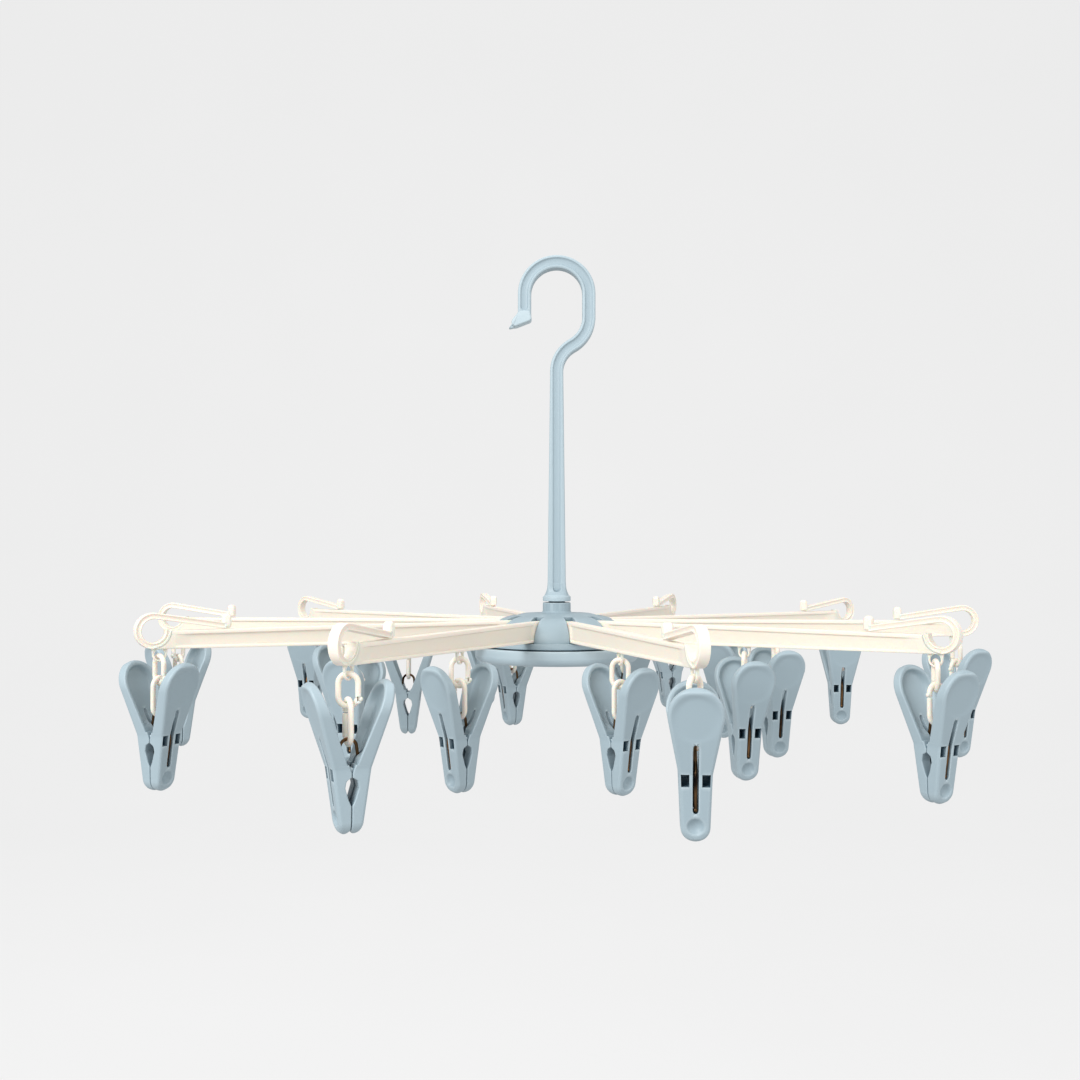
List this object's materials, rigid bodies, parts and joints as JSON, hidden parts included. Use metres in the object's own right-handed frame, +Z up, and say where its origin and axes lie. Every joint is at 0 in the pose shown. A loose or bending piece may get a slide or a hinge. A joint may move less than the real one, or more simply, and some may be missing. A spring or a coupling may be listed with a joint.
{
  "type": "folding hanging peg dryer",
  "caption": "Hanging folding clothes dryer: hook and mast, swivel hub, radial folding arms with end loops, sprung pegs on chain links.",
  "frame": {"origin": "centre of the hook's rail seat", "axes": "+Z up along the mast, +Y along the rail, hook opens to -X"},
  "size_m": [0.6147, 0.6011, 0.365],
  "materials": {
    "blue_plastic": "satin moulded polypropylene, pale grey-blue",
    "cream_plastic": "semi-gloss moulded plastic, warm cream",
    "fixing_steel": "yellow zinc plated steel wire and screws"
  },
  "bodies": {
    "mast": {"hook_mast": "blue_plastic", "mast_washer": "fixing_steel", "mast_screw": "fixing_steel"},
    "hub": {"hub_dome": "blue_plastic", "hub_base": "blue_plastic", "base_screws": "fixing_steel"},
    "arm_01": {"arm_01": "cream_plastic"},
    "peg_01": {"peg_01": "blue_plastic"},
    "peg_01_lever": {"peg_01_lever": "blue_plastic"},
    "peg_02": {"peg_02": "blue_plastic"},
    "peg_02_lever": {"peg_02_lever": "blue_plastic"},
    "arm_02": {"arm_02": "cream_plastic"},
    "peg_03": {"peg_03": "blue_plastic"},
    "peg_03_lever": {"peg_03_lever": "blue_plastic"},
    "peg_04": {"peg_04": "blue_plastic"},
    "peg_04_lever": {"peg_04_lever": "blue_plastic"},
    "arm_03": {"arm_03": "cream_plastic"},
    "peg_05": {"peg_05": "blue_plastic"},
    "peg_05_lever": {"peg_05_lever": "blue_plastic"},
    "peg_06": {"peg_06": "blue_plastic"},
    "peg_06_lever": {"peg_06_lever": "blue_plastic"},
    "arm_04": {"arm_04": "cream_plastic"},
    "peg_07": {"peg_07": "blue_plastic"},
    "peg_07_lever": {"peg_07_lever": "blue_plastic"},
    "peg_08": {"peg_08": "blue_plastic"},
    "peg_08_lever": {"peg_08_lever": "blue_plastic"},
    "arm_05": {"arm_05": "cream_plastic"},
    "peg_09": {"peg_09": "blue_plastic"},
    "peg_09_lever": {"peg_09_lever": "blue_plastic"},
    "peg_10": {"peg_10": "blue_plastic"},
    "peg_10_lever": {"peg_10_lever": "blue_plastic"},
    "arm_06": {"arm_06": "cream_plastic"},
    "peg_11": {"peg_11": "blue_plastic"},
    "peg_11_lever": {"peg_11_lever": "blue_plastic"},
    "peg_12": {"peg_12": "blue_plastic"},
    "peg_12_lever": {"peg_12_lever": "blue_plastic"},
    "arm_07": {"arm_07": "cream_plastic"},
    "peg_13": {"peg_13": "blue_plastic"},
    "peg_13_lever": {"peg_13_lever": "blue_plastic"},
    "peg_14": {"peg_14": "blue_plastic"},
    "peg_14_lever": {"peg_14_lever": "blue_plastic"},
    "arm_08": {"arm_08": "cream_plastic"},
    "peg_15": {"peg_15": "blue_plastic"},
    "peg_15_lever": {"peg_15_lever": "blue_plastic"},
    "peg_16": {"peg_16": "blue_plastic"},
    "peg_16_lever": {"peg_16_lever": "blue_plastic"},
    "arm_09": {"arm_09": "cream_plastic"},
    "peg_17": {"peg_17": "blue_plastic"},
    "peg_17_lever": {"peg_17_lever": "blue_plastic"},
    "peg_18": {"peg_18": "blue_plastic"},
    "peg_18_lever": {"peg_18_lever": "blue_plastic"},
    "arm_10": {"arm_10": "cream_plastic"},
    "peg_19": {"peg_19": "blue_plastic"},
    "peg_19_lever": {"peg_19_lever": "blue_plastic"},
    "peg_20": {"peg_20": "blue_plastic"},
    "peg_20_lever": {"peg_20_lever": "blue_plastic"}
  },
  "joints": [
    {"name": "hub_swivel", "type": "hinge", "parent": "mast", "child": "hub", "pos_m": [0, 0, -0.225], "axis": [0, 0, 1], "continuous": true},
    {"name": "arm_01_fold", "type": "hinge", "parent": "hub", "child": "arm_01", "pos_m": [-0.01461, -0.03616, -0.245], "axis": [-0.9272, 0.3746, 0], "range_deg": [0, 75]},
    {"name": "peg_01_swing", "type": "hinge", "parent": "arm_01", "child": "peg_01", "pos_m": [-0.10676, -0.26425, -0.25321], "axis": [0.8515, 0.0297, -0.5236], "range_deg": [0, 81.26]},
    {"name": "peg_01_open", "type": "hinge", "parent": "peg_01", "child": "peg_01_lever", "pos_m": [-0.10676, -0.26425, -0.30226], "axis": [0.4384, -0.8988, 0], "range_deg": [0, 12], "stiffness_Nm_per_rad": 0.15, "springref_deg": -11.46},
    {"name": "peg_02_swing", "type": "hinge", "parent": "arm_01", "child": "peg_02", "pos_m": [-0.05919, -0.14649, -0.25504], "axis": [0.7688, 0.1356, -0.625], "range_deg": [0, 90.49]},
    {"name": "peg_02_open", "type": "hinge", "parent": "peg_02", "child": "peg_02_lever", "pos_m": [-0.05919, -0.14649, -0.30409], "axis": [0.6691, -0.7431, 0], "range_deg": [0, 12], "stiffness_Nm_per_rad": 0.15, "springref_deg": -11.46},
    {"name": "arm_02_fold", "type": "hinge", "parent": "hub", "child": "arm_02", "pos_m": [0.00944, -0.03784, -0.245], "axis": [-0.9703, -0.2419, 0], "range_deg": [0, 75]},
    {"name": "peg_03_swing", "type": "hinge", "parent": "arm_02", "child": "peg_03", "pos_m": [0.06895, -0.27653, -0.25321], "axis": [0.4806, 0.5728, -0.664], "range_deg": [0, 95.65]},
    {"name": "peg_03_open", "type": "hinge", "parent": "peg_03", "child": "peg_03_lever", "pos_m": [0.06895, -0.27653, -0.30226], "axis": [0.9976, -0.0698, 0], "range_deg": [0, 12], "stiffness_Nm_per_rad": 0.15, "springref_deg": -11.46},
    {"name": "peg_04_swing", "type": "hinge", "parent": "arm_02", "child": "peg_04", "pos_m": [0.03822, -0.15331, -0.25504], "axis": [0.7547, -0.2307, 0.6141], "range_deg": [0, 89.25]},
    {"name": "peg_04_open", "type": "hinge", "parent": "peg_04", "child": "peg_04_lever", "pos_m": [0.03822, -0.15331, -0.30409], "axis": [-0.7431, -0.6691, 0], "range_deg": [0, 12], "stiffness_Nm_per_rad": 0.15, "springref_deg": -11.46},
    {"name": "arm_03_fold", "type": "hinge", "parent": "hub", "child": "arm_03", "pos_m": [0.02988, -0.02507, -0.245], "axis": [-0.6428, -0.766, 0], "range_deg": [0, 75]},
    {"name": "peg_05_swing", "type": "hinge", "parent": "arm_03", "child": "peg_05", "pos_m": [0.21832, -0.18319, -0.25321], "axis": [0.0659, 0.7528, -0.6549], "range_deg": [0, 94.34]},
    {"name": "peg_05_open", "type": "hinge", "parent": "peg_05", "child": "peg_05_lever", "pos_m": [0.21832, -0.18319, -0.30226], "axis": [0.866, 0.5, 0], "range_deg": [0, 12], "stiffness_Nm_per_rad": 0.15, "springref_deg": -11.46},
    {"name": "peg_06_swing", "type": "hinge", "parent": "arm_03", "child": "peg_06", "pos_m": [0.12104, -0.10156, -0.25504], "axis": [0.2017, 0.809, -0.5522], "range_deg": [0, 83.41]},
    {"name": "peg_06_open", "type": "hinge", "parent": "peg_06", "child": "peg_06_lever", "pos_m": [0.12104, -0.10156, -0.30409], "axis": [0.9781, 0.2079, 0], "range_deg": [0, 12], "stiffness_Nm_per_rad": 0.15, "springref_deg": -11.46},
    {"name": "arm_04_fold", "type": "hinge", "parent": "hub", "child": "arm_04", "pos_m": [0.03891, -0.00272, -0.245], "axis": [-0.0698, -0.9976, 0], "range_deg": [0, 75]},
    {"name": "peg_07_swing", "type": "hinge", "parent": "arm_04", "child": "peg_07", "pos_m": [0.28431, -0.01988, -0.25321], "axis": [-0.2058, 0.8913, -0.4041], "range_deg": [0, 74.73]},
    {"name": "peg_07_open", "type": "hinge", "parent": "peg_07", "child": "peg_07_lever", "pos_m": [0.28431, -0.01988, -0.30226], "axis": [0.866, 0.5, 0], "range_deg": [0, 12], "stiffness_Nm_per_rad": 0.15, "springref_deg": -11.46},
    {"name": "peg_08_swing", "type": "hinge", "parent": "arm_04", "child": "peg_08", "pos_m": [0.15762, -0.01102, -0.25504], "axis": [-0.1011, 0.962, -0.2538], "range_deg": [0, 70.09]},
    {"name": "peg_08_open", "type": "hinge", "parent": "peg_08", "child": "peg_08_lever", "pos_m": [0.15762, -0.01102, -0.30409], "axis": [0.9613, 0.2756, 0], "range_deg": [0, 12], "stiffness_Nm_per_rad": 0.15, "springref_deg": -11.46},
    {"name": "arm_05_fold", "type": "hinge", "parent": "hub", "child": "arm_05", "pos_m": [0.03307, 0.02067, -0.245], "axis": [0.5299, -0.848, 0], "range_deg": [0, 75]},
    {"name": "peg_09_swing", "type": "hinge", "parent": "arm_05", "child": "peg_09", "pos_m": [0.24169, 0.15103, -0.25321], "axis": [-0.2545, 0.8874, 0.3844], "range_deg": [0, 73.94]},
    {"name": "peg_09_open", "type": "hinge", "parent": "peg_09", "child": "peg_09_lever", "pos_m": [0.24169, 0.15103, -0.30226], "axis": [1, 0, 0], "range_deg": [0, 12], "stiffness_Nm_per_rad": 0.15, "springref_deg": -11.46},
    {"name": "peg_10_swing", "type": "hinge", "parent": "arm_05", "child": "peg_10", "pos_m": [0.13399, 0.08373, -0.25504], "axis": [-0.0422, 0.8056, 0.5909], "range_deg": [0, 86.84]},
    {"name": "peg_10_open", "type": "hinge", "parent": "peg_10", "child": "peg_10_lever", "pos_m": [0.13399, 0.08373, -0.30409], "axis": [0.8988, -0.4384, 0], "range_deg": [0, 12], "stiffness_Nm_per_rad": 0.15, "springref_deg": -11.46},
    {"name": "arm_06_fold", "type": "hinge", "parent": "hub", "child": "arm_06", "pos_m": [0.01461, 0.03616, -0.245], "axis": [0.9272, -0.3746, 0], "range_deg": [0, 75]},
    {"name": "peg_11_swing", "type": "hinge", "parent": "arm_06", "child": "peg_11", "pos_m": [0.10676, 0.26425, -0.25321], "axis": [-0.8879, 0.031, -0.4591], "range_deg": [0, 77.32]},
    {"name": "peg_11_open", "type": "hinge", "parent": "peg_11", "child": "peg_11_lever", "pos_m": [0.10676, 0.26425, -0.30226], "axis": [-0.309, 0.9511, 0], "range_deg": [0, 12], "stiffness_Nm_per_rad": 0.15, "springref_deg": -11.46},
    {"name": "peg_12_swing", "type": "hinge", "parent": "arm_06", "child": "peg_12", "pos_m": [0.05919, 0.14649, -0.25504], "axis": [-0.7833, 0.5384, 0.3108], "range_deg": [0, 71.5]},
    {"name": "peg_12_open", "type": "hinge", "parent": "peg_12", "child": "peg_12_lever", "pos_m": [0.05919, 0.14649, -0.30409], "axis": [0.7314, 0.682, 0], "range_deg": [0, 12], "stiffness_Nm_per_rad": 0.15, "springref_deg": -11.46},
    {"name": "arm_07_fold", "type": "hinge", "parent": "hub", "child": "arm_07", "pos_m": [-0.00944, 0.03784, -0.245], "axis": [0.9703, 0.2419, 0], "range_deg": [0, 75]},
    {"name": "peg_13_swing", "type": "hinge", "parent": "arm_07", "child": "peg_13", "pos_m": [-0.06895, 0.27653, -0.25321], "axis": [-0.7301, 0.2514, 0.6354], "range_deg": [0, 91.75]},
    {"name": "peg_13_open", "type": "hinge", "parent": "peg_13", "child": "peg_13_lever", "pos_m": [-0.06895, 0.27653, -0.30226], "axis": [0.788, 0.6157, 0], "range_deg": [0, 12], "stiffness_Nm_per_rad": 0.15, "springref_deg": -11.46},
    {"name": "peg_14_swing", "type": "hinge", "parent": "arm_07", "child": "peg_14", "pos_m": [-0.03822, 0.15331, -0.25504], "axis": [-0.9073, -0.3666, -0.2058], "range_deg": [0, 69.17]},
    {"name": "peg_14_open", "type": "hinge", "parent": "peg_14", "child": "peg_14_lever", "pos_m": [-0.03822, 0.15331, -0.30409], "axis": [-0.5, 0.866, 0], "range_deg": [0, 12], "stiffness_Nm_per_rad": 0.15, "springref_deg": -11.46},
    {"name": "arm_08_fold", "type": "hinge", "parent": "hub", "child": "arm_08", "pos_m": [-0.02988, 0.02507, -0.245], "axis": [0.6428, 0.766, 0], "range_deg": [0, 75]},
    {"name": "peg_15_swing", "type": "hinge", "parent": "arm_08", "child": "peg_15", "pos_m": [-0.21832, 0.18319, -0.25321], "axis": [-0.4117, -0.8442, -0.3433], "range_deg": [0, 72.49]},
    {"name": "peg_15_open", "type": "hinge", "parent": "peg_15", "child": "peg_15_lever", "pos_m": [-0.21832, 0.18319, -0.30226], "axis": [-0.9781, 0.2079, 0], "range_deg": [0, 12], "stiffness_Nm_per_rad": 0.15, "springref_deg": -11.46},
    {"name": "peg_16_swing", "type": "hinge", "parent": "arm_08", "child": "peg_16", "pos_m": [-0.12104, 0.10156, -0.25504], "axis": [-0.7658, -0.3735, 0.5236], "range_deg": [0, 81.26]},
    {"name": "peg_16_open", "type": "hinge", "parent": "peg_16", "child": "peg_16_lever", "pos_m": [-0.12104, 0.10156, -0.30409], "axis": [-0.0349, 0.9994, 0], "range_deg": [0, 12], "stiffness_Nm_per_rad": 0.15, "springref_deg": -11.46},
    {"name": "arm_09_fold", "type": "hinge", "parent": "hub", "child": "arm_09", "pos_m": [-0.03891, 0.00272, -0.245], "axis": [0.0698, 0.9976, 0], "range_deg": [0, 75]},
    {"name": "peg_17_swing", "type": "hinge", "parent": "arm_09", "child": "peg_17", "pos_m": [-0.28431, 0.01988, -0.25321], "axis": [-0.3613, -0.8116, 0.4591], "range_deg": [0, 77.32]},
    {"name": "peg_17_open", "type": "hinge", "parent": "peg_17", "child": "peg_17_lever", "pos_m": [-0.28431, 0.01988, -0.30226], "axis": [-0.7193, 0.6947, 0], "range_deg": [0, 12], "stiffness_Nm_per_rad": 0.15, "springref_deg": -11.46},
    {"name": "peg_18_swing", "type": "hinge", "parent": "arm_09", "child": "peg_18", "pos_m": [-0.15762, 0.01102, -0.25504], "axis": [0.3583, -0.7032, -0.6141], "range_deg": [0, 89.25]},
    {"name": "peg_18_open", "type": "hinge", "parent": "peg_18", "child": "peg_18_lever", "pos_m": [-0.15762, 0.01102, -0.30409], "axis": [-0.5299, -0.848, 0], "range_deg": [0, 12], "stiffness_Nm_per_rad": 0.15, "springref_deg": -11.46},
    {"name": "arm_10_fold", "type": "hinge", "parent": "hub", "child": "arm_10", "pos_m": [-0.03307, -0.02067, -0.245], "axis": [-0.5299, 0.848, 0], "range_deg": [0, 75]},
    {"name": "peg_19_swing", "type": "hinge", "parent": "arm_10", "child": "peg_19", "pos_m": [-0.24169, -0.15103, -0.25321], "axis": [0.6883, -0.6089, -0.3943], "range_deg": [0, 74.33]},
    {"name": "peg_19_open", "type": "hinge", "parent": "peg_19", "child": "peg_19_lever", "pos_m": [-0.24169, -0.15103, -0.30226], "axis": [-0.4226, -0.9063, 0], "range_deg": [0, 12], "stiffness_Nm_per_rad": 0.15, "springref_deg": -11.46},
    {"name": "peg_20_swing", "type": "hinge", "parent": "arm_10", "child": "peg_20", "pos_m": [-0.13399, -0.08373, -0.25504], "axis": [0.1027, -0.8366, 0.5382], "range_deg": [0, 82.32]},
    {"name": "peg_20_open", "type": "hinge", "parent": "peg_20", "child": "peg_20_lever", "pos_m": [-0.13399, -0.08373, -0.30409], "axis": [-0.9511, 0.309, 0], "range_deg": [0, 12], "stiffness_Nm_per_rad": 0.15, "springref_deg": -11.46}
  ],
  "couplings": [
    {"joint": "peg_01_swing", "follows": "arm_01_fold", "ratio": 1.0767},
    {"joint": "peg_02_swing", "follows": "arm_01_fold", "ratio": 1.1999},
    {"joint": "peg_03_swing", "follows": "arm_02_fold", "ratio": 1.2687},
    {"joint": "peg_04_swing", "follows": "arm_02_fold", "ratio": 1.1833},
    {"joint": "peg_05_swing", "follows": "arm_03_fold", "ratio": 1.2511},
    {"joint": "peg_06_swing", "follows": "arm_03_fold", "ratio": 1.1054},
    {"joint": "peg_07_swing", "follows": "arm_04_fold", "ratio": 0.98967},
    {"joint": "peg_08_swing", "follows": "arm_04_fold", "ratio": 0.92782},
    {"joint": "peg_09_swing", "follows": "arm_05_fold", "ratio": 0.97916},
    {"joint": "peg_10_swing", "follows": "arm_05_fold", "ratio": 1.1512},
    {"joint": "peg_11_swing", "follows": "arm_06_fold", "ratio": 1.0242},
    {"joint": "peg_12_swing", "follows": "arm_06_fold", "ratio": 0.94666},
    {"joint": "peg_13_swing", "follows": "arm_07_fold", "ratio": 1.2167},
    {"joint": "peg_14_swing", "follows": "arm_07_fold", "ratio": 0.91556},
    {"joint": "peg_15_swing", "follows": "arm_08_fold", "ratio": 0.95974},
    {"joint": "peg_16_swing", "follows": "arm_08_fold", "ratio": 1.0767},
    {"joint": "peg_17_swing", "follows": "arm_09_fold", "ratio": 1.0242},
    {"joint": "peg_18_swing", "follows": "arm_09_fold", "ratio": 1.1833},
    {"joint": "peg_19_swing", "follows": "arm_10_fold", "ratio": 0.98435},
    {"joint": "peg_20_swing", "follows": "arm_10_fold", "ratio": 1.0909}
  ]
}
